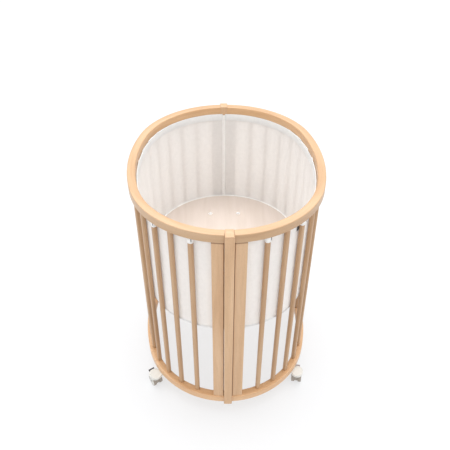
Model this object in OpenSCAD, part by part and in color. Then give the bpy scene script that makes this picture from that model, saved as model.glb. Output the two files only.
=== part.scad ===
// Small oval baby crib on twin-wheel casters.
// Origin on the floor under the middle of the crib, Z up, Y along the length, X across.
// The plan is an oval of four tangent arcs: two end arcs and two flatter side arcs.

/* [Overall size] */
// Height of the rail tops above the floor
total_h = 890; // [860:5:920]
// Half of the width across the rails
half_w = 337; // [335:1:345]
// Half of the length across the rails
half_l = 416; // [410:1:424]
// Outer radius of the two end arcs
end_r = 325; // [322:1:328]

/* [Rails] */
// Radial width of a rail
rail_w = 28; // [26:1:30]
// Height of a rail
rail_h = 31.5; // [28:0.5:34]
// Round-over along the rail edges
rail_edge = 4; // [3:0.5:8]
// Height of the bottom rail's underside
rail_low = 66; // [64:1:80]

/* [Slats] */
// Slats on each quarter of the oval
slats_per_quarter = 7; // [5:1:7]
// Spacing of the slats along their oval
slat_pitch = 70; // [66:0.5:71]
// Width of a slat along the oval
slat_w = 17; // [14:1:19]
// Depth of a slat across the rail
slat_d = 16; // [14:1:18]
// Corner radius of a slat
slat_corner = 6.5; // [3:0.5:6.5]
// Distance of the slat's middle inside the oval's outer face
slat_inset = 19; // [18:0.5:20]

/* [Posts] */
// Width of a centre post at its outer face
post_w_out = 30; // [28:1:34]
// Width of a centre post at its inner face
post_w_in = 24.5; // [22:0.5:28]
// How far a centre post stands proud of the rails
post_proud = 9; // [6:1:12]
// Width of a wide end post
end_post_w = 37; // [30:1:40]
// Depth of a wide end post
end_post_d = 24; // [20:1:24]
// Dark joint gap between a centre post and the rails
rail_gap = 0.6; // [0.4:0.1:2]
// Dark joint gap between a centre post and the end posts
joint_gap = 2; // [1:0.25:3]

/* [Mattress base] */
// Height of the board's top face at the highest setting
base_top = 460; // [450:5:470]
// Thickness of the board
board_t = 12; // [10:1:15]
// Distance of the board's edge inside the oval's outer face
board_inset = 35.6; // [35.5:0.1:38]
// Travel from the highest to the lowest setting
base_travel = 260; // [200:10:270]
// Diameter of the air holes
air_hole_d = 18; // [14:1:20]

/* [Liner] */
// Distance of the liner's outer face inside the oval's outer face
liner_inset = 29; // [28.5:0.5:29.5]
// Thickness of the liner solid
liner_t = 2; // [1.5:0.5:2]
// Gap between the liner's top edge and the rail
liner_drop = 1.5; // [1:0.5:4]

/* [Casters] */
// Radius of a wheel
wheel_r = 23; // [21:0.5:23]
// Width of a wheel
wheel_w = 12.5; // [10:0.5:12.5]
// Distance of each wheel's middle from the caster's centre plane
wheel_off = 13; // [13:0.5:14]
// Offset of the axle from the swivel axis
trail = 12; // [8:1:14]
// Radius of the round cap on the hood
cap_r = 24; // [22:1:27]
// Radius of the round end of a caster's bracket
arm_end_r = 22; // [18:1:25]
// Direction that the front left caster trails in, degrees from +X
turn_front_left = 124; // [0:1:359]
// Direction that the front right caster trails in, degrees from +X
turn_front_right = 81; // [0:1:359]
// Direction that the rear left caster trails in, degrees from +X
turn_rear_left = 105; // [0:5:355]
// Direction that the rear right caster trails in, degrees from +X
turn_rear_right = 75; // [0:5:355]

/* [Hidden] */
$fn = 96;

beech = "#D9AE7C";
beech_pale = "#E8CBA6";
steel = "#9DA1A6";
brass = "#B89B56";
cloth = "#F2F0EA";
cream = "#F3EFE4";
grey = "#8F8A86";
mauve = "#6E6468";

fit = 0.05;  // radial clearance of dowels, tenons and turning pins in their holes
glue_line = 0.02;
oval_steps = 40;  // straight steps on a quarter of a filled oval

// Oval: the side arcs' radius, how far their centres lie across the middle, the end arcs'
// centres, and the angle at which an end arc takes over from a side arc
end_off = half_l - end_r;
side_r = (half_w * half_w + half_l * half_l - 2 * half_l * end_r) / (2 * (half_w - end_r));
side_off = side_r - half_w;
join_a = atan(end_off / side_off);

rail_top_z = total_h - rail_h;
slat_low = rail_low + rail_h;
slat_len = rail_top_z - slat_low;
tenon_r = 5;
tenon_l = 11;

// Wide end posts: middle radius and angle from the Y axis
end_post_front = 4;
end_post_r = end_r - end_post_front - end_post_d / 2;
end_post_a = asin((post_w_out / 2 + joint_gap + end_post_w / 2) / (end_r - end_post_front));
post_tenon_d = 10;
post_tenon_w = 22;

// Centre posts
post_y_out = half_l + post_proud;
post_y_in = half_l - rail_w;
post_corner = 4;
post_edge = 1.5;

// Fasteners
dowel_r = 4;
dowel_deep = 8;
dowel_rail = 14;
dowel_zs = [rail_low + rail_h / 2, rail_top_z + rail_h / 2];
dowel_y = half_l - rail_w / 2;
frame_bolt_zs = [270, 740];
frame_bolt_y = end_off + end_post_r * cos(end_post_a);
frame_bolt_r = 3;
frame_bolt_head_r = 6.5;
frame_bolt_head_t = 2.5;
frame_bolt_x = 51;
sleeve_r = 4.5;
sleeve_from = 5;
post_bolt_z = rail_low + 21;
post_bolt_r = 3;
post_head_r = 5.5;
post_head_t = 3;
post_head_deep = 5;
plate_t = 2.5;
plate_gap = 0.1;
plate_z = rail_low + 3;
plate_h = 24;
plate_a = 10;
plate_screw_as = [-8.4, -6.4, 6.4, 8.4];
plate_screw_r = 2;
plate_screw_l = 16;
insert_r = 4.5;
insert_l = 13;
insert_bore_r = 2.6;

// Mattress base
board_low = base_top - board_t;
batten_w = 30;
batten_h = 22;
batten_x = 35.5;
batten_end = 374;
bracket_t = 2.5;
bracket_w = 28;
bracket_leg = 38;
bracket_foot = 58;
bracket_gap = 0.2;
bracket_r = end_r - rail_w - bracket_gap - bracket_t;
base_bolt_drop = board_t + batten_h + 24;
base_bolt_z = base_top - base_bolt_drop;
base_bolt_r = 3;
height_settings = 4;
air_hole_xs = [-60, 60];
air_hole_ys = [-250, -83, 83, 250];
base_screw_r = 2;
bracket_screw_ys = [330, 350];
batten_screw_ys = [-280, 0, 280];

// Liner
liner_top = rail_top_z - liner_drop;
liner_low = board_low + 4;
zip_w = 8;
zip_gap = 0.4;
piping_w = 4;
piping_inset = liner_inset + liner_t + 0.3;
strap_t = 1.2;
strap_gap = 0.3;
strap_h = 24;
strap_slats = [2, 4, 6];
tag_a = 43;
tag_w = 9;
tag_h = 26;

// Casters: swivel axes lie outside the rails, on round-ended brackets under the bottom rail
caster_a = 34.6;
caster_r = end_r + 17;
caster_x = caster_r * cos(caster_a);
caster_y = end_off + caster_r * sin(caster_a);
arm_low = 58;
arm_w = 30;
arm_from = end_r - rail_w + 3;
arm_screw_r = end_r - rail_w / 2;
arm_screw_off = 9;
arm_screw_rad = 2;
arm_screw_head = 4;
arm_screw_l = 22;
stem_r = 4;
stem_low = 38;
stem_top = 64;
cap_top = 57;
cap_t = 4.5;
cap_edge = 2;
fender_r = 31;
fender_half = 20.5;
fender_low = 42.5;
wheel_room = 1.2;
web_half = 6.4;
web_r = 19;
axle_r = 3;
axle_half = 21;
lever_pin_x = trail + 13;
lever_pin_z = 47;
lever_pin_r = 1.4;
lever_pin_half = 17;
lever_half = 12;
lever_reach = trail + 34;

QUARTERS = [[1, 1], [1, -1], [-1, 1], [-1, -1]];

// ---------- Plan geometry ----------

function side_len(inset) = (side_r - inset) * join_a * PI / 180;

// Point and outward direction on the quarter oval, s along it from the X axis
function on_oval(s, inset) =
  s <= side_len(inset)
    ? let (a = s / (side_r - inset) * 180 / PI)
      [-side_off + (side_r - inset) * cos(a), (side_r - inset) * sin(a), a]
    : let (a = join_a + (s - side_len(inset)) / (end_r - inset) * 180 / PI)
      [(end_r - inset) * cos(a), end_off + (end_r - inset) * sin(a), a];

module rounded_rect(w, h, r) {
  square([w - 2 * r, h], center = true);
  square([w, h - 2 * r], center = true);
  for (x = [-1, 1], y = [-1, 1]) {
    translate([x * (w / 2 - r), y * (h / 2 - r)]) circle(r);
  }
}

function quarter_len(inset) = side_len(inset) + (end_r - inset) * (90 - join_a) * PI / 180;

// Point i of oval_steps on the quarter oval, mirrored by the signs x and y
function oval_point(i, inset, x, y) =
  let (p = on_oval(i / oval_steps * quarter_len(inset), inset)) [x * p[0], y * p[1]];

// Filled oval, inset from the outer face
module oval(inset) {
  n = oval_steps;
  polygon(concat(
    [for (i = [0 : n - 1]) oval_point(i, inset, 1, 1)],
    [for (i = [n : -1 : 1]) oval_point(i, inset, -1, 1)],
    [for (i = [0 : n - 1]) oval_point(i, inset, -1, -1)],
    [for (i = [n : -1 : 1]) oval_point(i, inset, 1, -1)]
  ));
}

// Right half of a rail: three bent lengths, glued end to end with a hidden key in each joint
module bent_rail() {
  inset = rail_w / 2;
  side_glue = asin(glue_line / 2 / (side_r - inset));
  end_glue = asin(glue_line / 2 / (end_r - inset));
  translate([-side_off, 0, 0]) rotate([0, 0, side_glue - join_a]) {
    rotate_extrude(angle = 2 * (join_a - side_glue), $fn = 240) {
      translate([side_r - inset, 0]) rounded_rect(rail_w, rail_h, rail_edge);
    }
  }
  both_ends() translate([0, end_off, 0]) rotate([0, 0, join_a]) {
    rotate([0, 0, end_glue]) rotate_extrude(angle = 90 - join_a - end_glue, $fn = 200) {
      translate([end_r - inset, 0]) rounded_rect(rail_w, rail_h, rail_edge);
    }
    translate([end_r - inset, 0, 0]) cube([rail_w - 10, 16, rail_h - 10], center = true);
  }
}

module at_slat(i) {
  p = on_oval((i + 0.5) * slat_pitch, slat_inset);
  translate([p[0], p[1], 0]) rotate([0, 0, p[2]]) children();
}

module right_slat_places() {
  for (y = [0, 1], i = [0 : slats_per_quarter - 1]) mirror([0, y, 0]) at_slat(i) children();
}

// Front and rear end posts of the right half, x outward along the post's depth
module right_end_post_places() {
  for (y = [0, 1]) mirror([0, y, 0]) {
    translate([0, end_off, 0]) rotate([0, 0, 90 - end_post_a]) {
      translate([end_post_r, 0, 0]) children();
    }
  }
}

module left() {
  mirror([1, 0, 0]) children();
}

module both_ends() {
  for (y = [0, 1]) mirror([0, y, 0]) children();
}

module quarters() {
  for (q = QUARTERS) mirror([q[0] < 0 ? 1 : 0, 0, 0]) mirror([0, q[1] < 0 ? 1 : 0, 0]) children();
}

module along_x(r, from, to) {
  translate([from, 0, 0]) rotate([0, 90, 0]) cylinder(r = r, h = to - from);
}

module along_y(r, from, to) {
  translate([0, from, 0]) rotate([-90, 0, 0]) cylinder(r = r, h = to - from);
}

// ---------- Frame ----------

// Plan of a centre post, widened by gap at each side
module keystone(gap) {
  far = post_y_out + 10;
  slope = (post_w_out - post_w_in) / 2 / (post_y_out - post_y_in);
  near_w = post_w_in / 2 + gap - slope * 10;
  far_w = post_w_out / 2 + gap + slope * 10;
  near = post_y_in - 10;
  polygon([[-near_w, near], [near_w, near], [far_w, far], [-far_w, far]]);
}

module rail_right(low) {
  difference() {
    translate([0, 0, low + rail_h / 2]) bent_rail();
    both_ends() translate([0, 0, low - 1]) linear_extrude(rail_h + 2) keystone(rail_gap);
    both_ends() {
      translate([0, dowel_y, low + rail_h / 2]) along_x(dowel_r + fit, 0, 16 + dowel_rail);
    }
  }
}

module tenon_holes(z, h) {
  right_slat_places() translate([0, 0, z]) cylinder(r = tenon_r + fit, h = h);
  right_end_post_places() {
    translate([-post_tenon_d / 2 - fit, -post_tenon_w / 2 - fit, z]) {
      cube([post_tenon_d + 2 * fit, post_tenon_w + 2 * fit, h]);
    }
  }
}

module top_rail() {
  color(beech) difference() {
    rail_right(rail_top_z);
    tenon_holes(rail_top_z - 1, tenon_l + 1 + fit);
  }
}

module bottom_rail() {
  color(beech) difference() {
    rail_right(rail_low);
    tenon_holes(slat_low - tenon_l - fit, tenon_l + 1 + fit);
    rotate_each_plate_screw(1) along_x(plate_screw_r + fit, end_r - rail_w - 5, plate_screw_end());
    arm_screws(arm_screw_rad + fit, rail_low - 1, arm_low + arm_screw_l + fit);
  }
}

module slats() {
  color(beech) right_slat_places() {
    translate([0, 0, slat_low]) {
      linear_extrude(slat_len) rounded_rect(slat_d, slat_w, slat_corner);
      translate([0, 0, -tenon_l]) cylinder(r = tenon_r, h = slat_len + 2 * tenon_l);
    }
  }
}

module end_posts() {
  color(beech) difference() {
    right_end_post_places() {
      translate([0, 0, slat_low]) {
        linear_extrude(slat_len) rounded_rect(end_post_d, end_post_w, post_edge);
        translate([-post_tenon_d / 2, -post_tenon_w / 2, -tenon_l]) {
          cube([post_tenon_d, post_tenon_w, slat_len + 2 * tenon_l]);
        }
      }
    }
    insert_places() along_x(insert_r + fit, -end_post_d / 2 - 1, insert_l - end_post_d / 2 + fit);
    frame_bolt_places() {
      along_x(sleeve_r + fit, 0, 80);
      along_x(frame_bolt_head_r + 0.5, frame_bolt_x, 80);
    }
  }
}

module center_post() {
  color(beech) difference() {
    intersection() {
      translate([0, 0, rail_low]) linear_extrude(total_h - rail_low) intersection() {
        keystone(0);
        translate([0, (post_y_out + post_y_in) / 2]) {
          rounded_rect(post_w_out, post_y_out - post_y_in, post_edge);
        }
      }
      translate([0, post_y_out + 5, (total_h + rail_low) / 2]) rotate([90, 0, 0]) {
        linear_extrude(60) rounded_rect(post_w_out, total_h - rail_low, post_corner);
      }
    }
    for (z = dowel_zs, x = [0, 1]) mirror([x, 0, 0]) translate([0, dowel_y, z]) {
      along_x(dowel_r + fit, dowel_start(), 30);
    }
    for (z = frame_bolt_zs) translate([0, frame_bolt_y, z]) along_x(sleeve_r + fit, -30, 30);
    translate([0, 0, post_bolt_z]) {
      along_y(post_bolt_r + fit, post_y_in - 5, post_y_out + 5);
      along_y(post_head_r + 0.5, post_y_out - post_head_deep, post_y_out + 5);
    }
  }
}

function dowel_start() = post_w_in / 2 - dowel_deep;

// Dowels between the centre posts and the rails, and a flush plug over each post bolt's head
module rail_dowels() {
  color(beech_pale) both_ends() {
    for (z = dowel_zs, x = [0, 1]) mirror([x, 0, 0]) translate([0, dowel_y, z]) {
      along_x(dowel_r, dowel_start() + 0.5, 15 + dowel_rail);
    }
    translate([0, 0, post_bolt_z]) along_y(post_head_r + 0.5 - fit, post_y_out - 1.8, post_y_out);
  }
}

module frame_bolt_places() {
  both_ends() for (z = frame_bolt_zs) translate([0, frame_bolt_y, z]) children();
}

module frame_bolts() {
  color(steel) frame_bolt_places() {
    along_x(frame_bolt_r, -frame_bolt_x, 30);
    along_x(frame_bolt_head_r, -frame_bolt_x - frame_bolt_head_t, -frame_bolt_x);
  }
}

module sleeve_nuts() {
  color(steel) frame_bolt_places() difference() {
    union() {
      along_x(sleeve_r, sleeve_from, frame_bolt_x);
      along_x(frame_bolt_head_r, frame_bolt_x, frame_bolt_x + frame_bolt_head_t);
    }
    along_x(frame_bolt_r + fit, sleeve_from - 1, 31);
  }
}

// The plates follow the inside of the bottom rails across the centre posts
function plate_out() = end_r - rail_w - plate_gap;
function plate_screw_end() = plate_out() + plate_screw_l;

module rotate_each_plate_screw(side) {
  both_ends() translate([0, end_off, plate_z + plate_h / 2]) for (a = plate_screw_as) {
    if (side == 0 || a * side > 0) rotate([0, 0, 90 - a]) children();
  }
}

module joining_plates() {
  color(steel) difference() {
    both_ends() translate([0, end_off, plate_z]) rotate([0, 0, 90 - plate_a]) {
      rotate_extrude(angle = 2 * plate_a, $fn = 200) {
        translate([plate_out() - plate_t, 0]) square([plate_t, plate_h]);
      }
    }
    rotate_each_plate_screw(0) along_x(plate_screw_r + fit, plate_out() - 10, plate_out() + 5);
    both_ends() translate([0, 0, post_bolt_z]) along_y(post_bolt_r + fit, post_y_in - 10, post_y_in);
  }
}

module plate_screws() {
  color(steel) rotate_each_plate_screw(0) {
    along_x(plate_screw_r, plate_out() - plate_t - 1, plate_screw_end());
    along_x(2 * plate_screw_r, plate_out() - plate_t - 1.6, plate_out() - plate_t - 0.1);
  }
}

module post_bolts() {
  color(steel) both_ends() translate([0, 0, post_bolt_z]) difference() {
    union() {
      along_y(post_bolt_r, post_y_in - 9, post_y_out - post_head_deep);
      along_y(post_head_r, post_y_out - post_head_deep, post_y_out - post_head_deep + post_head_t);
    }
    translate([0, post_y_out - post_head_deep + 1, 0]) rotate([-90, 0, 0]) {
      cylinder(d = 4.6, h = 5, $fn = 6);
    }
  }
}

module post_nuts() {
  nut_top = post_y_in - plate_gap - plate_t - 0.4;
  color(steel) both_ends() translate([0, 0, post_bolt_z]) difference() {
    translate([0, nut_top - 5, 0]) rotate([-90, 0, 0]) cylinder(d = 11, h = 5, $fn = 6);
    along_y(post_bolt_r + fit, nut_top - 6, nut_top + 1);
  }
}

module insert_places() {
  right_end_post_places() for (i = [0 : height_settings - 1]) {
    translate([0, 0, base_bolt_z - i * base_travel / (height_settings - 1)]) children();
  }
}

module height_inserts() {
  color(brass) for (x = [0, 1]) mirror([x, 0, 0]) insert_places() difference() {
    along_x(insert_r, -end_post_d / 2, insert_l - end_post_d / 2);
    along_x(insert_bore_r, -end_post_d / 2 - 1, insert_l - end_post_d / 2 - 2);
  }
}

// ---------- Liner ----------

module liner_right_half() {
  color(cloth) translate([0, 0, liner_low]) linear_extrude(liner_top - liner_low) {
    intersection() {
      difference() {
        oval(liner_inset);
        oval(liner_inset + liner_t);
      }
      translate([zip_w / 2 + zip_gap, -half_l]) square([half_w, 2 * half_l]);
    }
  }
}

module liner_zips() {
  color(cloth) both_ends() {
    translate([-zip_w / 2, half_l - liner_inset - liner_t, liner_low]) {
      cube([zip_w, liner_t - 0.1, liner_top - liner_low]);
    }
  }
}

module liner_piping() {
  color(cloth) translate([0, 0, base_top - piping_w]) linear_extrude(piping_w) difference() {
    oval(piping_inset);
    oval(piping_inset + piping_w);
  }
}

module liner_straps() {
  wall = 2 * (strap_gap + strap_t);
  room = 2 * strap_gap;
  color(cloth) translate([0, 0, liner_top - strap_h]) linear_extrude(strap_h) {
    quarters() for (i = strap_slats) {
      p = on_oval((i + 0.5) * slat_pitch, slat_inset);
      translate([p[0], p[1]]) rotate(p[2]) difference() {
        rounded_rect(slat_d + wall, slat_w + wall, slat_corner + wall / 2);
        rounded_rect(slat_d + room, slat_w + room, slat_corner + room / 2);
      }
    }
  }
}

module liner_tag() {
  color(mauve) translate([0, -end_off, liner_top - tag_h - 26]) rotate([0, 0, -tag_a]) {
    translate([end_r - liner_inset + 0.1, -tag_w / 2, 0]) cube([1.2, tag_w, tag_h]);
  }
}

// ---------- Mattress base ----------

module mattress_board() {
  color(beech_pale) difference() {
    translate([0, 0, board_low]) linear_extrude(board_t) oval(board_inset);
    for (x = air_hole_xs, y = air_hole_ys) {
      translate([x, y, board_low - 1]) cylinder(d = air_hole_d, h = board_t + 2);
    }
    for (x = [-1, 1], y = batten_screw_ys) {
      translate([x * batten_x, y, board_low - 1]) cylinder(r = base_screw_r + fit, h = 9);
    }
  }
}

module base_battens() {
  color(beech) for (x = [-1, 1]) difference() {
    translate([x * batten_x - batten_w / 2, -batten_end, board_low - batten_h]) {
      cube([batten_w, 2 * batten_end, batten_h]);
    }
    for (y = batten_screw_ys) translate([x * batten_x, y, board_low - batten_h - 1]) {
      cylinder(r = base_screw_r + fit, h = batten_h + 2);
      cylinder(r = 2 * base_screw_r + fit, h = 5);
    }
    for (y = bracket_screw_ys, e = [-1, 1]) {
      translate([x * batten_x, e * y, board_low - batten_h - 1]) {
        cylinder(r = base_screw_r + fit, h = 15);
      }
    }
  }
}

// Places one bracket per end post, x outward along the post's depth, its outer face on the post
module bracket_places() {
  quarters() translate([0, end_off, 0]) rotate([0, 0, 90 - end_post_a]) children();
}

module base_brackets() {
  foot_z = board_low - batten_h - bracket_t;
  color(steel) difference() {
    bracket_places() {
      translate([bracket_r, -bracket_w / 2, foot_z + bracket_t - bracket_leg]) {
        cube([bracket_t, bracket_w, bracket_leg]);
      }
      translate([bracket_r - bracket_foot, -bracket_w / 2, foot_z]) {
        cube([bracket_foot + bracket_t, bracket_w, bracket_t]);
      }
    }
    bracket_places() translate([0, 0, base_bolt_z]) {
      along_x(base_bolt_r + fit, bracket_r - 5, bracket_r + 10);
    }
    for (x = [-1, 1], y = bracket_screw_ys, e = [-1, 1]) {
      translate([x * batten_x, e * y, foot_z - 1]) cylinder(r = base_screw_r + fit, h = 5);
    }
  }
}

module base_bolts() {
  color(steel) bracket_places() translate([0, 0, base_bolt_z]) difference() {
    union() {
      along_x(base_bolt_r, bracket_r, bracket_r + bracket_t);
      along_x(6, bracket_r - 4, bracket_r);
    }
    translate([bracket_r - 5, 0, 0]) rotate([0, 90, 0]) cylinder(d = 4.6, h = 4, $fn = 6);
  }
}

module base_screws() {
  foot_z = board_low - batten_h - bracket_t;
  color(steel) for (x = [-1, 1]) {
    for (y = batten_screw_ys) translate([x * batten_x, y, board_low - batten_h]) {
      cylinder(r = base_screw_r, h = batten_h + 7);
      translate([0, 0, 1]) cylinder(r = 2 * base_screw_r, h = 3);
    }
    for (y = bracket_screw_ys, e = [-1, 1]) translate([x * batten_x, e * y, foot_z]) {
      cylinder(r = base_screw_r, h = 15);
      translate([0, 0, -1.5]) cylinder(r = 2 * base_screw_r, h = 1.5);
    }
  }
}

// ---------- Casters ----------

// Arm frame: x outward along the arm from the end arc's centre
module arm_places() {
  quarters() translate([0, end_off, 0]) rotate([0, 0, caster_a]) children();
}

module arm_screws(r, from, to) {
  arm_places() for (y = [-1, 1]) translate([arm_screw_r, y * arm_screw_off, from]) {
    cylinder(r = r, h = to - from);
  }
}

module caster_brackets() {
  color(cream) difference() {
    arm_places() {
      translate([caster_r, 0, arm_low]) rotate_extrude() cap_section(arm_end_r, rail_low - arm_low);
      translate([arm_from, -arm_w / 2, arm_low]) {
        cube([caster_r - arm_from, arm_w, rail_low - arm_low]);
      }
    }
    arm_screws(arm_screw_rad + fit, arm_low - 1, rail_low + 1);
    arm_screws(arm_screw_head + fit, arm_low - 1, arm_low + 3);
    arm_places() translate([caster_r, 0, arm_low - 1]) {
      cylinder(r = stem_r + fit, h = stem_top - arm_low + 1 + fit);
    }
  }
}

module bracket_screws() {
  color(steel) {
    arm_screws(arm_screw_rad, arm_low + 0.5, arm_low + arm_screw_l);
    arm_screws(arm_screw_head, arm_low + 0.5, arm_low + 3);
  }
}

module caster_stems() {
  color(steel) arm_places() translate([caster_r, 0, stem_low + 0.5]) {
    cylinder(r = stem_r, h = stem_top - stem_low - 0.5);
  }
}

// Caster frame: origin on the swivel axis, x in the direction the wheels trail, y the axle
module caster(side_x, side_y, turn) {
  translate([side_x * caster_x, side_y * caster_y, 0]) rotate([0, 0, turn]) children();
}

// Half section of a round plate with a rounded upper edge
module cap_section(r, t) {
  square([r, t - cap_edge]);
  square([r - cap_edge, t]);
  translate([r - cap_edge, t - cap_edge]) circle(cap_edge);
}

module hood() {
  color(cream) difference() {
    union() {
      translate([trail, 0, cap_top - cap_t]) rotate_extrude() cap_section(cap_r, cap_t);
      intersection() {
        translate([trail, 0, wheel_r]) along_y(fender_r, -fender_half, fender_half);
        translate([trail - 40, -fender_half, fender_low]) cube([80, 2 * fender_half, 30]);
        translate([trail, 0, 0]) cylinder(r = cap_r, h = cap_top - 1);
      }
      translate([trail, 0, wheel_r]) along_y(web_r, -web_half, web_half);
      translate([trail - web_r, -web_half, wheel_r]) cube([2 * web_r, 2 * web_half, 22]);
    }
    for (y = [-1, 1]) translate([trail, y * (web_half + 8.3), wheel_r]) {
      along_y(wheel_r + wheel_room, -8.3, 8.3);
    }
    translate([0, 0, stem_low]) cylinder(r = stem_r + fit, h = 30);
    translate([trail, 0, wheel_r]) along_y(axle_r, -30, 30);
    translate([lever_pin_x - 5, -lever_half - 0.6, 42]) cube([40, 2 * lever_half + 1.2, 9.5]);
    translate([lever_pin_x, 0, lever_pin_z]) along_y(lever_pin_r, -lever_pin_half, lever_pin_half);
  }
}

module pins() {
  color(steel) {
    translate([trail, 0, wheel_r]) along_y(axle_r, -axle_half, axle_half);
    translate([lever_pin_x, 0, lever_pin_z]) along_y(lever_pin_r, -lever_pin_half, lever_pin_half);
  }
}

// Twin wheel at side y: dished outside, with a hub bore and a rounded tread
module wheel(y) {
  color(grey) translate([trail, y * wheel_off, wheel_r]) rotate([-90 * y, 0, 0]) difference() {
    rotate_extrude() difference() {
      translate([(wheel_r + axle_r) / 2 + fit / 2, 0]) {
        square([wheel_r - axle_r - fit, wheel_w], center = true);
      }
      translate([wheel_r - 2, wheel_w / 2 - 2]) difference() {
        square(3);
        circle(2);
      }
      translate([wheel_r - 2, 2 - wheel_w / 2]) mirror([0, 1]) difference() {
        square(3);
        circle(2);
      }
      translate([7, wheel_w / 2 - 1.5]) square([11, 3]);
    }
  }
}

module brake() {
  color(mauve) difference() {
    union() {
      translate([lever_pin_x, 0, lever_pin_z]) along_y(3.2, -lever_half, lever_half);
      translate([lever_pin_x, -lever_half, lever_pin_z - 1.2]) {
        cube([lever_reach - lever_pin_x - 3, 2 * lever_half, 3.4]);
      }
      translate([lever_reach - 4, -lever_half, lever_pin_z - 2.2]) cube([4, 2 * lever_half, 5.6]);
    }
    translate([lever_pin_x, 0, lever_pin_z]) along_y(lever_pin_r + fit, -30, 30);
  }
}

// ---------- Assembly ----------

left() top_rail();  // top_rail_left
top_rail();  // top_rail_right
left() bottom_rail();  // bottom_rail_left
bottom_rail();  // bottom_rail_right
left() slats();  // slats_left
slats();  // slats_right
left() end_posts();  // end_posts_left
end_posts();  // end_posts_right
mirror([0, 1, 0]) center_post();  // center_post_front
center_post();  // center_post_rear
rail_dowels();
frame_bolts();
sleeve_nuts();
post_bolts();
post_nuts();
joining_plates();
plate_screws();
height_inserts();
left() liner_right_half();  // liner_left
liner_right_half();  // liner_right
liner_zips();
liner_piping();
liner_straps();
liner_tag();
mattress_board();
base_battens();
base_brackets();
base_bolts();
base_screws();
caster_brackets();
bracket_screws();
caster_stems();

caster(-1, -1, turn_front_left) hood();  // hood_front_left
caster(1, -1, turn_front_right) hood();  // hood_front_right
caster(-1, 1, turn_rear_left) hood();  // hood_rear_left
caster(1, 1, turn_rear_right) hood();  // hood_rear_right
caster(-1, -1, turn_front_left) pins();  // pins_front_left
caster(1, -1, turn_front_right) pins();  // pins_front_right
caster(-1, 1, turn_rear_left) pins();  // pins_rear_left
caster(1, 1, turn_rear_right) pins();  // pins_rear_right
caster(-1, -1, turn_front_left) wheel(1);  // wheel_a_front_left
caster(1, -1, turn_front_right) wheel(1);  // wheel_a_front_right
caster(-1, 1, turn_rear_left) wheel(1);  // wheel_a_rear_left
caster(1, 1, turn_rear_right) wheel(1);  // wheel_a_rear_right
caster(-1, -1, turn_front_left) wheel(-1);  // wheel_b_front_left
caster(1, -1, turn_front_right) wheel(-1);  // wheel_b_front_right
caster(-1, 1, turn_rear_left) wheel(-1);  // wheel_b_rear_left
caster(1, 1, turn_rear_right) wheel(-1);  // wheel_b_rear_right
caster(-1, -1, turn_front_left) brake();  // brake_front_left
caster(1, -1, turn_front_right) brake();  // brake_front_right
caster(-1, 1, turn_rear_left) brake();  // brake_rear_left
caster(1, 1, turn_rear_right) brake();  // brake_rear_right
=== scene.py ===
"""Oval baby crib on casters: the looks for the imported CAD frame.

Metres, Z up, Y along the crib. The CAD nodes keep their meshes and get smooth shading and
materials. The soft liner's parts are drawn afresh and replace their CAD stand-ins.
"""

import math

import bpy
from mathutils import Matrix, Vector


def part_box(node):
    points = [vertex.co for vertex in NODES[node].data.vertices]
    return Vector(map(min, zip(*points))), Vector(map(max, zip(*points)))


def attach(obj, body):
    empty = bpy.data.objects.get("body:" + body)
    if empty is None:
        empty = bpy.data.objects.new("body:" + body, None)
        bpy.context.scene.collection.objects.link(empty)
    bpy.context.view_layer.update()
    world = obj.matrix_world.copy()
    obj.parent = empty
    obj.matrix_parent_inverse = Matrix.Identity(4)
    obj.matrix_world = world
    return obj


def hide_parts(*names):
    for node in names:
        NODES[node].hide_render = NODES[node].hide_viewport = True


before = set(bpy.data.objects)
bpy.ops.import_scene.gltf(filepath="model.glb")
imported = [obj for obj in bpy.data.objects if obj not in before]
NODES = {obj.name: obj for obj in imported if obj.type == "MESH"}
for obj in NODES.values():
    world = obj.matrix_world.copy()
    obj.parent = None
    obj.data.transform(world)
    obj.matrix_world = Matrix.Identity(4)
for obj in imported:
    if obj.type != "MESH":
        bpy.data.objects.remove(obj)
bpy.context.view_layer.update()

# ---------- Camera ----------

AZIMUTH = math.radians(1.448)  # how far the view leans from +Y towards +X
ELEVATION = math.radians(38.67)
ROLL = math.radians(0.246)
DISTANCE = 2.236  # from the camera to the target
TARGET = Vector((0.0017, 0.1872, 0.445))
LENS = 42.07  # mm
SENSOR = 36.0  # mm

# ---------- The oval, as the rails are bent: two end arcs and two side arcs ----------

HALF_W = 0.337  # half the width over the rails
HALF_L = 0.416  # half the length over the rails, without the centre posts
END_R = 0.325
END_OFF = HALF_L - END_R
SIDE_R = (HALF_W**2 + HALF_L**2 - 2 * HALF_L * END_R) / (2 * (HALF_W - END_R))
SIDE_OFF = SIDE_R - HALF_W
JOIN_A = math.atan(END_OFF / SIDE_OFF)  # where a side arc meets an end arc

LINER_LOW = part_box("liner_left")[0].z
RAIL_UNDER, TOP = (corner.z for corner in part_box("top_rail_left"))
LINER_TOP = RAIL_UNDER + 0.003  # just behind the inside of the top rail
LINER_INSET = 0.030  # in from the rails' outline
HEM_H = 0.027
SLAT_PITCH = 0.070
SLAT_INSET = 0.019
STRAP_SLATS = (2, 4, 6)  # counted in each quarter from the middle of the side


def side_len(inset):
    """Length of one quarter's side arc."""
    return (SIDE_R - inset) * JOIN_A


def quarter_len(inset):
    """Length of one quarter of the oval."""
    return side_len(inset) + (END_R - inset) * (math.pi / 2 - JOIN_A)


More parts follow.
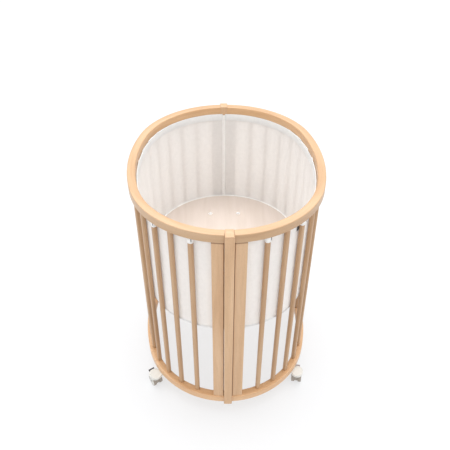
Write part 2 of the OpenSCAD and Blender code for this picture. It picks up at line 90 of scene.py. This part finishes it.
def on_oval(s, inset):
    """Point and outward normal at length s along the oval from the +X axis, towards the rear."""
    s_abs = abs(s)
    if s_abs <= side_len(inset):
        a = s_abs / (SIDE_R - inset)
        x = -SIDE_OFF + (SIDE_R - inset) * math.cos(a)
        y = (SIDE_R - inset) * math.sin(a)
    else:
        a = JOIN_A + (s_abs - side_len(inset)) / (END_R - inset)
        x = (END_R - inset) * math.cos(a)
        y = END_OFF + (END_R - inset) * math.sin(a)
    sign = 1 if s >= 0 else -1
    return Vector((x, sign * y, 0)), Vector((math.cos(a), sign * math.sin(a), 0))


# ---------- Mesh helpers ----------


def mesh_object(name, verts, faces, smooth=True):
    mesh = bpy.data.meshes.new(name)
    mesh.from_pydata([tuple(v) for v in verts], [], faces)
    mesh.validate()
    for poly in mesh.polygons:
        poly.use_smooth = smooth
    obj = bpy.data.objects.new(name, mesh)
    bpy.context.scene.collection.objects.link(obj)
    return obj


def grid_faces(cols, rows, closed=False):
    """Quads of a grid of cols by rows points, stored row by row."""
    faces = []
    for r in range(rows - 1):
        for c in range(cols if closed else cols - 1):
            n = (c + 1) % cols
            faces.append((r * cols + c, r * cols + n, (r + 1) * cols + n, (r + 1) * cols + c))
    return faces


def sweep(name, path, section, closed=False):
    """A tube: at each (point, side, up) of path, the section's (across, up) points."""
    verts = [p + side * a + up * b for p, side, up in path for a, b in section]
    n, rings = len(section), len(path)
    faces = []
    for r in range(rings if closed else rings - 1):
        for k in range(n):
            a, b = r * n + k, r * n + (k + 1) % n
            c, d = ((r + 1) % rings) * n + (k + 1) % n, ((r + 1) % rings) * n + k
            faces.append((a, b, c, d))
    if not closed:
        faces.append(tuple(range(n - 1, -1, -1)))
        faces.append(tuple(range((rings - 1) * n, rings * n)))
    return mesh_object(name, verts, faces)


def circle(radius, sides):
    """Corner points of a round section."""
    step = 2 * math.pi / sides
    return [(radius * math.cos(k * step), radius * math.sin(k * step)) for k in range(sides)]


def rounded_rect(w, h, r, steps):
    """Corner points of a w by h section with corners rounded to r."""
    points = []
    for cx, cy, start in ((1, 1, 0), (-1, 1, 90), (-1, -1, 180), (1, -1, 270)):
        for k in range(steps + 1):
            a = math.radians(start + 90 * k / steps)
            x = cx * (w / 2 - r) + r * math.cos(a)
            points.append((x, cy * (h / 2 - r) + r * math.sin(a)))
    return points


def dress(obj, material):
    """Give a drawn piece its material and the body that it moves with."""
    obj.data.materials.clear()
    obj.data.materials.append(material)
    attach(obj, "frame")
    return obj


def solidify(obj, thickness):
    mod = obj.modifiers.new("thickness", "SOLIDIFY")
    mod.thickness = thickness
    mod.offset = 0
    return obj


# ---------- Material helpers ----------


class Nodes:
    """Short calls that build a node tree."""

    def __init__(self, tree):
        self.tree = tree

    def put(self, value, socket):
        if hasattr(value, "is_output"):
            self.tree.links.new(value, socket)
        elif value is not None:
            socket.default_value = value

    def node(self, kind, inputs=(), **settings):
        made = self.tree.nodes.new("ShaderNode" + kind)
        for key, value in settings.items():
            setattr(made, key, value)
        for key, value in dict(inputs).items():
            self.put(value, made.inputs[key])
        return made

    def math(self, op, a, b=None):
        return self.node("Math", {0: a, 1: b}, operation=op).outputs[0]

    def split(self, vector):
        return self.node("SeparateXYZ", {0: vector}).outputs

    def span(self, value, low, high, at_low=0.0, at_high=1.0):
        """Goes from at_low to at_high while value goes from low to high, and stays there beyond."""
        limits = {"From Min": low, "From Max": high, "To Min": at_low, "To Max": at_high}
        return self.node("MapRange", {"Value": value, **limits}).outputs[0]


class Shader(Nodes):
    """Short calls that build one material."""

    def __init__(self, name):
        self.mat = bpy.data.materials.new(name)
        self.mat.use_nodes = True
        super().__init__(self.mat.node_tree)
        self.bsdf = self.tree.nodes["Principled BSDF"]

    def place(self):
        return self.node("TexCoord").outputs["Object"]

    def join(self, x, y, z):
        return self.node("CombineXYZ", {0: x, 1: y, 2: z}).outputs[0]

    def scaled(self, vector, scale):
        return self.node("Mapping", {"Vector": vector, "Scale": scale}).outputs[0]

    def noise(self, vector, scale=1.0, detail=3.0, rough=0.5, distortion=0.0):
        inputs = {
            "Vector": vector,
            "Scale": scale,
            "Detail": detail,
            "Roughness": rough,
            "Distortion": distortion,
        }
        return self.node("TexNoise", inputs).outputs[0]

    def ramp(self, value, stops):
        made = self.node("ValToRGB", {"Fac": value})
        ends = made.color_ramp.elements
        while len(ends) < len(stops):
            ends.new(0.5)
        for element, (at, color) in zip(ends, stops):
            element.position = at
            element.color = (*color, 1) if hasattr(color, "__len__") else (color,) * 3 + (1,)
        return made.outputs[0]

    def mix(self, fac, a, b, blend="MIX"):
        inputs = {0: fac, 6: a, 7: b}
        return self.node("Mix", inputs, data_type="RGBA", blend_type=blend).outputs[2]

    def bump(self, height, strength, distance):
        inputs = {"Height": height, "Strength": strength, "Distance": distance}
        return self.node("Bump", inputs).outputs[0]

    def finish(self, **sockets):
        for key, value in sockets.items():
            self.put(value, self.bsdf.inputs[key.replace("_", " ")])
        return self.mat


def rgb(*screen):
    """Linear colour from three screen values, 0 to 255."""
    linear = (((c / 255 + 0.055) / 1.055) ** 2.4 if c > 10 else c / 3294 for c in screen)
    return (*linear, 1)


HALVES_APART = 3.1  # so that the left and right half don't share their grain


def bent_grain(sh):
    """(along, inset, height) round the bent rails, so that the grain follows the bend."""

    def length(a, b):
        return sh.math("SQRT", sh.math("ADD", sh.math("POWER", a, 2.0), sh.math("POWER", b, 2.0)))

    x, y, z = sh.split(sh.place())
    ax, ay = sh.math("ABSOLUTE", x), sh.math("ABSOLUTE", y)
    end_y = sh.math("SUBTRACT", ay, END_OFF)
    end_a = sh.math("SUBTRACT", sh.math("ARCTAN2", end_y, ax), JOIN_A)
    end_s = sh.math("ADD", sh.math("MULTIPLY", end_a, END_R), SIDE_R * JOIN_A)
    end_d = length(ax, end_y)
    side_x = sh.math("ADD", ax, SIDE_OFF)
    side_s = sh.math("MULTIPLY", sh.math("ARCTAN2", ay, side_x), SIDE_R)
    side_d = length(side_x, ay)
    in_end = sh.math("GREATER_THAN", end_a, 0.0)

    def choose(end, side):
        both = sh.math("MULTIPLY", in_end, sh.math("SUBTRACT", end, side))
        return sh.math("ADD", both, side)

    along = sh.math("MULTIPLY", choose(end_s, side_s), sh.math("SIGN", y))
    along = sh.math("ADD", along, sh.math("MULTIPLY", sh.math("SIGN", x), HALVES_APART))
    inset = choose(sh.math("SUBTRACT", end_d, END_R), sh.math("SUBTRACT", side_d, SIDE_R))
    return sh.join(along, inset, z)


def upright_grain(sh):
    """(up, across, along the crib) for posts and slats."""
    x, y, z = sh.split(sh.place())
    return sh.join(z, x, y)


def lengthwise_grain(sh):
    """(along the crib, across, up) for the board and its battens."""
    x, y, z = sh.split(sh.place())
    return sh.join(y, x, z)


def wood(name, grain, tones, rough=0.42, fleck=0.35, fine=0.85, coat=0.12, shine=0.5, zone=None):
    """Lacquered wood: soft bands, fine fibre lines and short dark ray flecks along the grain.

    tones is (light, mid, dark). zone is (axis of the grain's place, from, to, tint beyond) for
    a face painted paler as bounced light, a darker top or a painted shade line at a joint.
    """
    sh = Shader(name)
    light, mid, dark = tones
    where = grain(sh)
    bands = sh.noise(sh.scaled(where, (2.2, 26, 26)), detail=3, rough=0.55, distortion=0.6)
    fibre = sh.noise(sh.scaled(where, (14, 620, 620)), detail=4, rough=0.65)
    flecks = sh.noise(sh.scaled(where, (260, 1500, 1500)), detail=1, rough=0.4)
    tone = sh.ramp(bands, [(0.30, dark[:3]), (0.50, mid[:3]), (0.70, light[:3])])
    lines = sh.ramp(fibre, [(0.30, 0.86), (0.55, 1.0), (0.75, 1.05)])
    rays = sh.ramp(flecks, [(0.30, 1.0 - fleck), (0.40, 1.0)])
    tone = sh.mix(fine, tone, lines, "MULTIPLY")
    tone = sh.mix(0.55, tone, rays, "MULTIPLY")
    if zone:
        axis, low, high, tint = zone
        tone = sh.mix(sh.span(sh.split(where)[axis], low, high), tone, tint, "MULTIPLY")
    gloss = sh.math("ADD", sh.math("MULTIPLY", fibre, 0.10), rough - 0.05)
    height = sh.math("ADD", sh.math("MULTIPLY", fibre, 0.6), sh.math("MULTIPLY", flecks, 0.25))
    return sh.finish(
        Base_Color=tone,
        Roughness=gloss,
        Normal=sh.bump(height, 0.25, 0.0004),
        Specular_IOR_Level=shine,
        Coat_Weight=coat,
        Coat_Roughness=0.30,
    )


MEAN_R = 0.36


def cloth(name, color, translucent=0.35, sheer=0.0, weave=900.0, deep=0.35):
    """Fine woven cloth, partly translucent, with a fabric sheen."""
    sh = Shader(name)
    x, y, z = sh.split(sh.place())
    turn = sh.math("MULTIPLY", sh.math("ARCTAN2", y, x), MEAN_R)  # about metres round the liner
    warp = sh.math("SINE", sh.math("MULTIPLY", turn, weave * 2 * math.pi))
    weft = sh.math("SINE", sh.math("MULTIPLY", z, weave * 2 * math.pi))
    threads = sh.math("MULTIPLY", warp, weft)
    mottle = sh.noise(sh.scaled(sh.join(turn, turn, z), (60, 60, 60)), detail=4, rough=0.6)
    shade = sh.ramp(mottle, [(0.3, 0.95), (0.7, 1.0)])
    tone = sh.mix(1.0, color, shade, "MULTIPLY")
    height = sh.math("ADD", sh.math("MULTIPLY", threads, 0.5), sh.math("MULTIPLY", mottle, 0.5))
    mat = sh.finish(
        Base_Color=tone,
        Roughness=0.85,
        Sheen_Weight=0.25,
        Sheen_Roughness=0.5,
        Normal=sh.bump(height, deep, 0.0003),
    )
    if translucent:
        through = sh.node("BsdfTranslucent", {"Color": tone}).outputs[0]
        both = sh.node("MixShader", {0: translucent, 1: sh.bsdf.outputs[0], 2: through}).outputs[0]
        if sheer:
            clear = sh.node("BsdfTransparent").outputs[0]
            both = sh.node("MixShader", {0: sheer, 1: both, 2: clear}).outputs[0]
        sh.tree.links.new(both, sh.tree.nodes["Material Output"].inputs[0])
    return mat


def plastic(name, color, rough=0.38, grain=900.0, deep=0.12, glow=0.0):
    """Moulded plastic with a very fine grain and slight gloss changes."""
    sh = Shader(name)
    fine = sh.noise(sh.place(), grain, detail=2, rough=0.6)
    broad = sh.noise(sh.place(), 40.0, detail=3, rough=0.5)
    tone = sh.mix(1.0, color, sh.ramp(broad, [(0.3, 0.96), (0.7, 1.0)]), "MULTIPLY")
    gloss = sh.math("ADD", sh.math("MULTIPLY", broad, 0.12), rough - 0.06)
    look = {"Base_Color": tone, "Roughness": gloss, "Normal": sh.bump(fine, deep, 0.0002)}
    # glow makes the surface give off light though it is no lamp: painted light
    if glow:
        look |= {"Emission_Color": (1, 1, 1, 1), "Emission_Strength": glow}
    return sh.finish(**look)


def metal(name, color, rough=0.35):
    """Zinc-plated or turned metal, with faint brushed variation."""
    sh = Shader(name)
    brushed = sh.noise(sh.scaled(sh.place(), (180, 180, 1800)), detail=3, rough=0.6)
    gloss = sh.math("ADD", sh.math("MULTIPLY", brushed, 0.18), rough - 0.09)
    tone = sh.mix(1.0, color, sh.ramp(brushed, [(0.3, 0.9), (0.7, 1.0)]), "MULTIPLY")
    return sh.finish(
        Base_Color=tone, Roughness=gloss, Metallic=1.0, Normal=sh.bump(brushed, 0.08, 0.0002)
    )


# (light, mid, dark) of each wood
BEECH = (rgb(196, 163, 128), rgb(189, 154, 117), rgb(180, 142, 104))
POST_BEECH = (rgb(213, 178, 142), rgb(206, 169, 131), rgb(197, 157, 118))
SLAT_BEECH = (rgb(191, 157, 122), rgb(184, 147, 110), rgb(174, 135, 97))
LOW_BEECH = (rgb(220, 181, 141), rgb(214, 172, 129), rgb(205, 160, 116))
BIRCH = (rgb(213, 200, 191), rgb(210, 197, 187), rgb(206, 192, 181))

# Zones of a wood: (axis of the grain's place, from, to, tint beyond)
# Painted light: the top rails' inner faces are tinted paler, standing in for light bounced off the
# liner.
BOUNCE_LIT_INNER_FACE = (1, -0.0262, -0.0274, (1.24, 1.20, 1.14, 1))
# Painted shade: a dark line at the top of the end posts, where the rail's underside overhangs them.
JOINT_SHADE_LINE = (0, RAIL_UNDER - 0.0060, RAIL_UNDER - 0.0050, (0.52, 0.46, 0.39, 1))
POST_TOP = (0, TOP - 0.004, TOP - 0.002, (0.88, 0.88, 0.90, 1))

beech_bent = wood("beech bent rail", bent_grain, BEECH, coat=0.3, zone=BOUNCE_LIT_INNER_FACE)
beech_post = wood("beech post", upright_grain, POST_BEECH, zone=POST_TOP)
beech_end_post = wood("beech end post", upright_grain, POST_BEECH, zone=JOINT_SHADE_LINE)
beech_slat = wood("beech slat", upright_grain, SLAT_BEECH)
beech_low = wood("beech bottom rail", bent_grain, LOW_BEECH)
beech_batten = wood("beech batten", lengthwise_grain, BEECH)
birch_board = wood(
    "birch board", lengthwise_grain, BIRCH, rough=0.30, fleck=0.08, fine=0.3, coat=0.7, shine=0.7
)
# Painted light: the air holes' walls are near white and glow a little, standing in for the lit
# floor seen through the holes.
glowing_hole_wall = plastic("hole wall painted bright and glowing", rgb(252, 251, 250), rough=0.3, glow=0.16)
liner_cloth = cloth("sheer liner cloth", rgb(249, 247, 245), translucent=0.25, sheer=0.07)
hem_cloth = cloth("liner hem cloth", rgb(242, 243, 243), translucent=0.15)
tape_cloth = cloth("white cotton tape", rgb(252, 251, 249), translucent=0.10, weave=1200.0)
tag_cloth = cloth("dark woven tab", rgb(52, 48, 48), translucent=0.0, weave=1500.0)
thread = plastic("white sewing thread", rgb(238, 238, 237), rough=0.6)
cream = plastic("cream moulded plastic", rgb(216, 215, 209), rough=0.34)
tread = plastic("grey soft tread", rgb(158, 149, 139), rough=0.62, grain=1500.0, deep=0.25)
lever = plastic("dark lever plastic", rgb(66, 60, 62), rough=0.45)
# Painted highlight: a paler copy of the lever plastic, standing in for glare on one lever.
glare_lever = plastic("lever plastic painted pale with glare", rgb(168, 157, 159), rough=0.45)
steel = metal("zinc plated steel", rgb(196, 198, 202))
brass = metal("brass insert", rgb(206, 176, 112))

# ---------- CAD nodes: smooth shading and their own materials ----------

SMOOTH_ANGLE = math.radians(32)
QUARTERS = ("front_left", "front_right", "rear_left", "rear_right")
HOLES_X = 0.09  # the board's air holes lie within this much of its middle
HOLES_Y = 0.27
TREAD_FROM = 0.0205  # from the axle to the inside of a wheel's tread
GREY_BELOW = 0.040  # the hood's faces below this height take the grey tread material


def paint(node, *materials):
    """Give a CAD node its materials, smooth shading and flat-lit faces."""
    obj = NODES[node]
    obj.data.materials.clear()
    for material in materials:
        obj.data.materials.append(material)
    for poly in obj.data.polygons:
        poly.use_smooth = True
    obj.data.set_sharp_from_angle(angle=SMOOTH_ANGLE)
    flat = obj.modifiers.new("flat faces", "WEIGHTED_NORMAL")
    flat.keep_sharp = True
    flat.weight = 100
    return obj


for word in ("left", "right"):
    paint("top_rail_" + word, beech_bent)
    paint("bottom_rail_" + word, beech_low)
    paint("slats_" + word, beech_slat)
    paint("end_posts_" + word, beech_end_post)
for node in ("center_post_front", "center_post_rear", "rail_dowels"):
    paint(node, beech_post)
paint("base_battens", beech_batten)
board = paint("mattress_board", birch_board, glowing_hole_wall)
# The air holes' walls take the bright glowing material: painted light.
for poly in board.data.polygons:
    among_holes = abs(poly.center.x) < HOLES_X and abs(poly.center.y) < HOLES_Y
    poly.material_index = 1 if among_holes and abs(poly.normal.z) < 0.9 else 0
for node in (
    "frame_bolts",
    "sleeve_nuts",
    "post_bolts",
    "post_nuts",
    "joining_plates",
    "plate_screws",
    "base_brackets",
    "base_bolts",
    "base_screws",
    "bracket_screws",
    "caster_stems",
):
    paint(node, steel)
paint("height_inserts", brass)
paint("caster_brackets", cream)


def axle_point(quarter):
    """Middle of a caster's axle and the axle's direction, from its two wheels."""
    wheel_low_a, wheel_high_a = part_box("wheel_a_" + quarter)
    wheel_low_b, wheel_high_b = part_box("wheel_b_" + quarter)
    middle_a = (wheel_low_a + wheel_high_a) / 2
    middle_b = (wheel_low_b + wheel_high_b) / 2
    return (middle_a + middle_b) / 2, (middle_a - middle_b).normalized()


for quarter in QUARTERS:
    hood = paint("hood_" + quarter, cream, tread)
    for poly in hood.data.polygons:
        poly.material_index = 1 if poly.center.z < GREY_BELOW else 0
    paint("pins_" + quarter, steel)
    # The front right lever gets the paler copy: painted glare.
    paint("brake_" + quarter, glare_lever if quarter == "front_right" else lever)
    center, axle = axle_point(quarter)
    for side in "ab":
        wheel = paint(f"wheel_{side}_{quarter}", cream, tread)
        for poly in wheel.data.polygons:
            arm = poly.center - center
            arm -= axle * arm.dot(axle)
            poly.material_index = 1 if arm.length > TREAD_FROM else 0

# ---------- Liner ----------

SEAM_Z = LINER_TOP - HEM_H
LOW_HEM_H = 0.008
CLOTH_THICK = 0.0008
HEM_THICK = 0.0016
LOW_HEM_THICK = 0.0018
TAPE_THICK = 0.0010
PANEL_END = 0.0045  # from the middle of a zip to the end of the cloth
BAND_END = 0.005
STITCH_END = 0.006
WAVE_DEPTH = 0.0007
BAND_STEPS = 160
STITCH_PITCH = 0.0032
STITCH_LENGTH = 0.0022
STITCH_R = 0.00028
STITCH_SIDES = 5
PIPING_R = 0.0026
PIPING_STEPS = 320
UP = Vector((0, 0, 1))


def liner_waves(s, z):
    """How far the cloth stands in from its even oval: soft folds, more at the free lower part."""
    free = (LINER_TOP - z) / (LINER_TOP - LINER_LOW)
    wave = math.sin(s * 23.0 + 1.3 * math.sin(s * 7.1)) + 0.6 * math.sin(s * 51.0 + z * 6.0)
    return WAVE_DEPTH * wave * (0.3 + free)


def liner_panel(name, side):
    """One half of the liner wall, from zip to zip, and its length."""
    half = quarter_len(LINER_INSET) - PANEL_END
    cols, rows = 181, 41
    verts = []
    for r in range(rows):
        z = LINER_LOW + (LINER_TOP - LINER_LOW) * r / (rows - 1)
        for c in range(cols):
            s = -half + 2 * half * c / (cols - 1)
            p, n = on_oval(s, LINER_INSET)
            p = p - n * liner_waves(s, z)
            verts.append((side * p.x, p.y, z))
    panel = mesh_object(name, verts, grid_faces(cols, rows))
    dress(solidify(panel, CLOTH_THICK), liner_cloth)
    return panel, 2 * half


def band(name, side, z_low, z_high, inset, thickness, material):
    """A flat sewn band along one half of the liner."""
    half = quarter_len(inset) - BAND_END
    section = rounded_rect(thickness, z_high - z_low, thickness * 0.49, 3)
    path = []
    for k in range(BAND_STEPS + 1):
        p, n = on_oval(-half + 2 * half * k / BAND_STEPS, inset)
        p = Vector((side * p.x, p.y, (z_low + z_high) / 2))
        path.append((p, Vector((side * n.x, n.y, 0)), UP))
    return dress(sweep(name, path, section), material)


def stitches(name, side, z, inset):
    """A row of short raised thread stitches along one half of the liner."""
    half = quarter_len(inset) - STITCH_END
    count = int(2 * half / STITCH_PITCH)
    verts, faces = [], []
    for k in range(count):
        p, n = on_oval(-half + (k + 0.5) * STITCH_PITCH, inset)
        along = Vector((-n.y, n.x, 0))
        near = len(verts)
        far = near + STITCH_SIDES
        for end in (-1, 1):
            for a, b in circle(STITCH_R, STITCH_SIDES):
                q = p + along * (end * STITCH_LENGTH / 2) + n * a
                verts.append((side * q.x, q.y, z + b))
        for i in range(STITCH_SIDES):
            j = (i + 1) % STITCH_SIDES
            faces.append((near + i, near + j, far + j, far + i))
    return dress(mesh_object(name, verts, faces), thread)


panels, sewn = {}, {}
for side, word in ((1, "right"), (-1, "left")):
    panel, width = liner_panel("liner_panel_" + word, side)
    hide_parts("liner_" + word)
    hem_inset = LINER_INSET + 0.0012  # on the cloth's inner face
    hem = band("liner_hem_" + word, side, SEAM_Z, LINER_TOP, hem_inset, HEM_THICK, hem_cloth)
    low_hem = band(
        "liner_low_hem_" + word,
        side,
        LINER_LOW,
        LINER_LOW + LOW_HEM_H,
        LINER_INSET,
        LOW_HEM_THICK,
        hem_cloth,
    )
    panels[word] = (panel, width)
    sewn[word] = [
        hem,
        low_hem,
        stitches("hem_stitches_" + word, side, SEAM_Z + 0.002, LINER_INSET + 0.0022),
        stitches("low_stitches_" + word, side, LINER_LOW + 0.006, LINER_INSET - 0.001),
    ]


def piping():
    """Round corded piping where the liner meets the board."""
    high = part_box("liner_piping")[1]
    inset = HALF_L - high.y + 0.002
    path = []
    q = quarter_len(inset)
    for k in range(PIPING_STEPS):
        s = 4 * q * k / PIPING_STEPS
        quarter, along = int(s // q), s % q
        s_local = along if quarter % 2 == 0 else q - along
        x_sign = 1 if quarter in (0, 3) else -1
        y_sign = 1 if quarter in (0, 1) else -1
        p, n = on_oval(s_local, inset)
        p = Vector((x_sign * p.x, y_sign * p.y, high.z + 0.0006))
        path.append((p, Vector((x_sign * n.x, y_sign * n.y, 0)), UP))
    cord = sweep("liner_piping_round", path, circle(PIPING_R, 12), closed=True)
    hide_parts("liner_piping")
    return dress(cord, tape_cloth)


sewn["left"].append(piping())


BLOCK_FACES = (
    (0, 3, 2, 1),
    (4, 5, 6, 7),
    (0, 1, 5, 4),
    (1, 2, 6, 5),
    (2, 3, 7, 6),
    (3, 0, 4, 7),
)
ZIP_TAPE_X = 0.0032  # from the middle of a zip to the middle of each tape
ZIP_TAPE = (0.0052, 0.0009)
TOOTH = (0.0030, 0.0012, 0.0014)
TOOTH_PITCH = 0.0024
TOOTH_SHIFT = 0.0006  # every other tooth to each side, and all of them inwards


def zip_strip(name, y_sign):
    """A zip: two tapes and a row of small teeth, from the board to the hem."""
    low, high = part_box("liner_zips")
    y = y_sign * (high.y - 0.001)
    verts, faces = [], []

    def block(cx, cy, cz, w, d, h):
        base = len(verts)
        for dz in (-h / 2, h / 2):
            for dx, dy in ((-w / 2, -d / 2), (w / 2, -d / 2), (w / 2, d / 2), (-w / 2, d / 2)):
                verts.append((cx + dx, cy + dy, cz + dz))
        for face in BLOCK_FACES:
            faces.append(tuple(base + i for i in face))

    middle, height = (low.z + high.z) / 2, high.z - low.z
    for x in (-1, 1):
        block(x * ZIP_TAPE_X, y, middle, *ZIP_TAPE, height)
    for k in range(int(height / TOOTH_PITCH)):
        x = TOOTH_SHIFT if k % 2 else -TOOTH_SHIFT
        block(x, y - y_sign * TOOTH_SHIFT, low.z + (k + 0.5) * TOOTH_PITCH, *TOOTH)
    strip = mesh_object(name, verts, faces, smooth=False)
    return dress(strip, tape_cloth)


front_zip = zip_strip("liner_zip_front", -1)
rear_zip = zip_strip("liner_zip_rear", 1)
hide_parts("liner_zips")
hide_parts("liner_zips")
sewn["right"].append(front_zip)
sewn["left"].append(rear_zip)


GAP_SHADE_OUT, GAP_SHADE_ASIDE = 0.0088, 0.0062  # from a slat's middle to the painted shade strip where its strap's ends part
STRAP_DEEP, STRAP_WIDE, STRAP_CORNER = 0.0178, 0.0188, 0.0070
STRAP_HALF = 0.009  # from a slat's middle to its strap, about
# (share of the height, how far out): a strap bulges a little and its edges are drawn in
STRAP_ROWS = ((0.0, -0.0003), (0.0012, 0.0), (0.5, 0.0003), (0.9988, 0.0), (1.0, -0.0003))


def strap_place(x_sign, y_sign, index):
    """Middle, outward direction and sideways direction of a slat in one quarter of the oval."""
    p, n = on_oval((index + 0.5) * SLAT_PITCH, SLAT_INSET)
    n = Vector((x_sign * n.x, y_sign * n.y, 0))
    return Vector((x_sign * p.x, y_sign * p.y, 0)), n, Vector((-n.y, n.x, 0))


def strap(name, x_sign, y_sign, index):
    """A tape loop round the top of a slat, with rounded edges."""
    low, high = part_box("liner_straps")
    p, n, t = strap_place(x_sign, y_sign, index)
    outline = rounded_rect(STRAP_DEEP, STRAP_WIDE, STRAP_CORNER, 6)
    verts = []
    for share, out in STRAP_ROWS:
        z = low.z + (high.z - low.z) * share
        grow = 1 + out / STRAP_HALF
        for a, b in outline:
            q = p + n * (a * grow) + t * (b * grow)
            verts.append((q.x, q.y, z))
    tape = mesh_object(name, verts, grid_faces(len(outline), len(STRAP_ROWS), closed=True))
    return dress(solidify(tape, TAPE_THICK), tape_cloth)


def strap_gap_shade(name, x_sign, y_sign, index):
    """A dark strip of painted shade, where a strap's two ends part and the slat shows."""
    low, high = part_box("liner_straps")
    p, n, t = strap_place(x_sign, y_sign, index)
    t *= 1 if n.y < 0 else -1
    p = p + n * GAP_SHADE_OUT + t * GAP_SHADE_ASIDE
    path = [(p + UP * z, t, n) for z in (low.z + 0.007, high.z - 0.002)]
    shade_strip = sweep(name, path, rounded_rect(0.0022, 0.0014, 0.0006, 3))
    # the dark tab cloth paints the shade in the strap's gap
    return dress(shade_strip, tag_cloth)


for x_sign, x_word in ((1, "right"), (-1, "left")):
    for y_sign, y_word in ((1, "rear"), (-1, "front")):
        for index in STRAP_SLATS:
            ending = f"{y_word}_{x_word}_{index}"
            loop = strap("strap_" + ending, x_sign, y_sign, index)
            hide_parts("liner_straps")
            sewn[x_word] += [loop, strap_gap_shade("strap_gap_shade_" + ending, x_sign, y_sign, index)]


TAG_SHIFT = 0.0022  # towards the front, clear of the slat beside it
TAG_WIDE = 0.0098
TAG_BULGE = 0.0016


def tag():
    """A folded plain dark tab sewn to the liner."""
    low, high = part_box("liner_tag")
    p = (low + high) / 2
    n = Vector((p.x, p.y + END_OFF, 0)).normalized()  # out from the front arc's centre
    t = Vector((-n.y, n.x, 0))
    p -= t * TAG_SHIFT
    verts = []
    rows = 9
    for r in range(rows):
        share = r / (rows - 1)
        out = TAG_BULGE * math.sin(share * math.pi) - 0.0002
        for c in (-1, -0.5, 0, 0.5, 1):
            q = p + t * (c * TAG_WIDE / 2) + n * out
            verts.append((q.x, q.y, low.z + (high.z - low.z) * share))
    tab = mesh_object("liner_tab", verts, grid_faces(5, rows))
    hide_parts("liner_tag")
    return dress(solidify(tab, CLOTH_THICK), tag_cloth)


sewn["right"].append(tag())

# ---------- Floor, light, camera ----------

FLOOR_GLOW = 0.62
SKY_LOW = 0.37  # just over the horizon, all round
SKY_FRONT = 1.47
SKY_BACK_LOW = 0.60
SKY_BACK = 2.90
OVERHEAD = 24.0  # W
BOARD_POOL = 31.0  # W


def stage_floor():
    """A pale floor that glows a little, for the white ground of a product photo."""
    corners = [(-12, -8, 0), (12, -8, 0), (12, 16, 0), (-12, 16, 0)]
    floor = mesh_object("floor", corners, [(0, 1, 2, 3)])
    sh = Shader("pale floor")
    mottle = sh.noise(sh.place(), 3.0, detail=2)
    tone = sh.mix(1.0, rgb(139, 140, 142), sh.ramp(mottle, [(0.3, 0.99), (0.7, 1.0)]), "MULTIPLY")
    paper = sh.finish(
        Base_Color=tone,
        Roughness=0.9,
        Specular_IOR_Level=0.1,
        Emission_Color=(1, 1, 1, 1),
        Emission_Strength=FLOOR_GLOW,
    )
    floor.data.materials.append(paper)


def aim(name, light, place, look_at):
    obj = bpy.data.objects.new(name, light)
    obj.location = place
    obj.rotation_euler = (Vector(look_at) - Vector(place)).to_track_quat("-Z", "Y").to_euler()
    bpy.context.scene.collection.objects.link(obj)


def area_light(name, place, look_at, size, power):
    light = bpy.data.lights.new(name, "AREA")
    light.shape = "DISK"
    light.size = size
    light.energy = power
    aim(name, light, place, look_at)


def board_light(name, place, look_at, power):
    """A narrow soft spot that makes the pale pool on the board."""
    light = bpy.data.lights.new(name, "SPOT")
    light.spot_size = math.radians(8.5)
    light.spot_blend = 1.0
    light.shadow_soft_size = 0.08
    light.energy = power
    aim(name, light, place, look_at)


def sky():
    """World light by direction: a white horizon, a dim band over it, and levels front and rear."""
    world = bpy.data.worlds.new("studio")
    world.use_nodes = True
    sh = Nodes(world.node_tree)

    def blend(fac, a, b):
        return sh.node("Mix", {0: fac, 2: a, 3: b}, data_type="FLOAT").outputs[0]

    y, z = sh.split(sh.node("TexCoord").outputs["Generated"])[1:]
    behind = sh.span(z, 0.54, 0.66, SKY_BACK_LOW, SKY_BACK)
    high = sh.span(y, -0.3, 0.3, SKY_FRONT, behind)
    above = blend(sh.span(z, 0.15, 0.50), SKY_LOW, high)
    strength = blend(sh.span(z, 0.14, 0.18, 1.0, 0.0), above, 1.0)
    background = sh.tree.nodes["Background"].inputs
    sh.put(strength, background["Strength"])
    sh.put((1, 1, 1, 1), background["Color"])
    bpy.context.scene.world = world


def light_up():
    sky()
    area_light("overhead", (0.0, 0.4, 3.2), (0, 0, 0.6), 1.7, OVERHEAD)
    board_light("board pool", (0.0, 0.13, 3.0), (0, 0.13, 0.46), BOARD_POOL)
    bpy.context.scene.view_settings.view_transform = "Standard"


def set_camera():
    ahead = Vector((math.sin(AZIMUTH), math.cos(AZIMUTH), 0))
    sight = ahead * math.cos(ELEVATION) - UP * math.sin(ELEVATION)
    right = Vector((ahead.y, -ahead.x, 0))
    up = right.cross(sight)
    x = right * math.cos(ROLL) + up * math.sin(ROLL)
    y = up * math.cos(ROLL) - right * math.sin(ROLL)
    camera = bpy.data.objects.new("camera", bpy.data.cameras.new("camera"))
    turned = Matrix((x, y, -sight)).transposed().to_4x4()
    camera.matrix_world = Matrix.Translation(TARGET - sight * DISTANCE) @ turned
    camera.data.lens = LENS
    camera.data.sensor_width = SENSOR
    bpy.context.scene.collection.objects.link(camera)
    bpy.context.scene.camera = camera


stage_floor()
light_up()
set_camera()
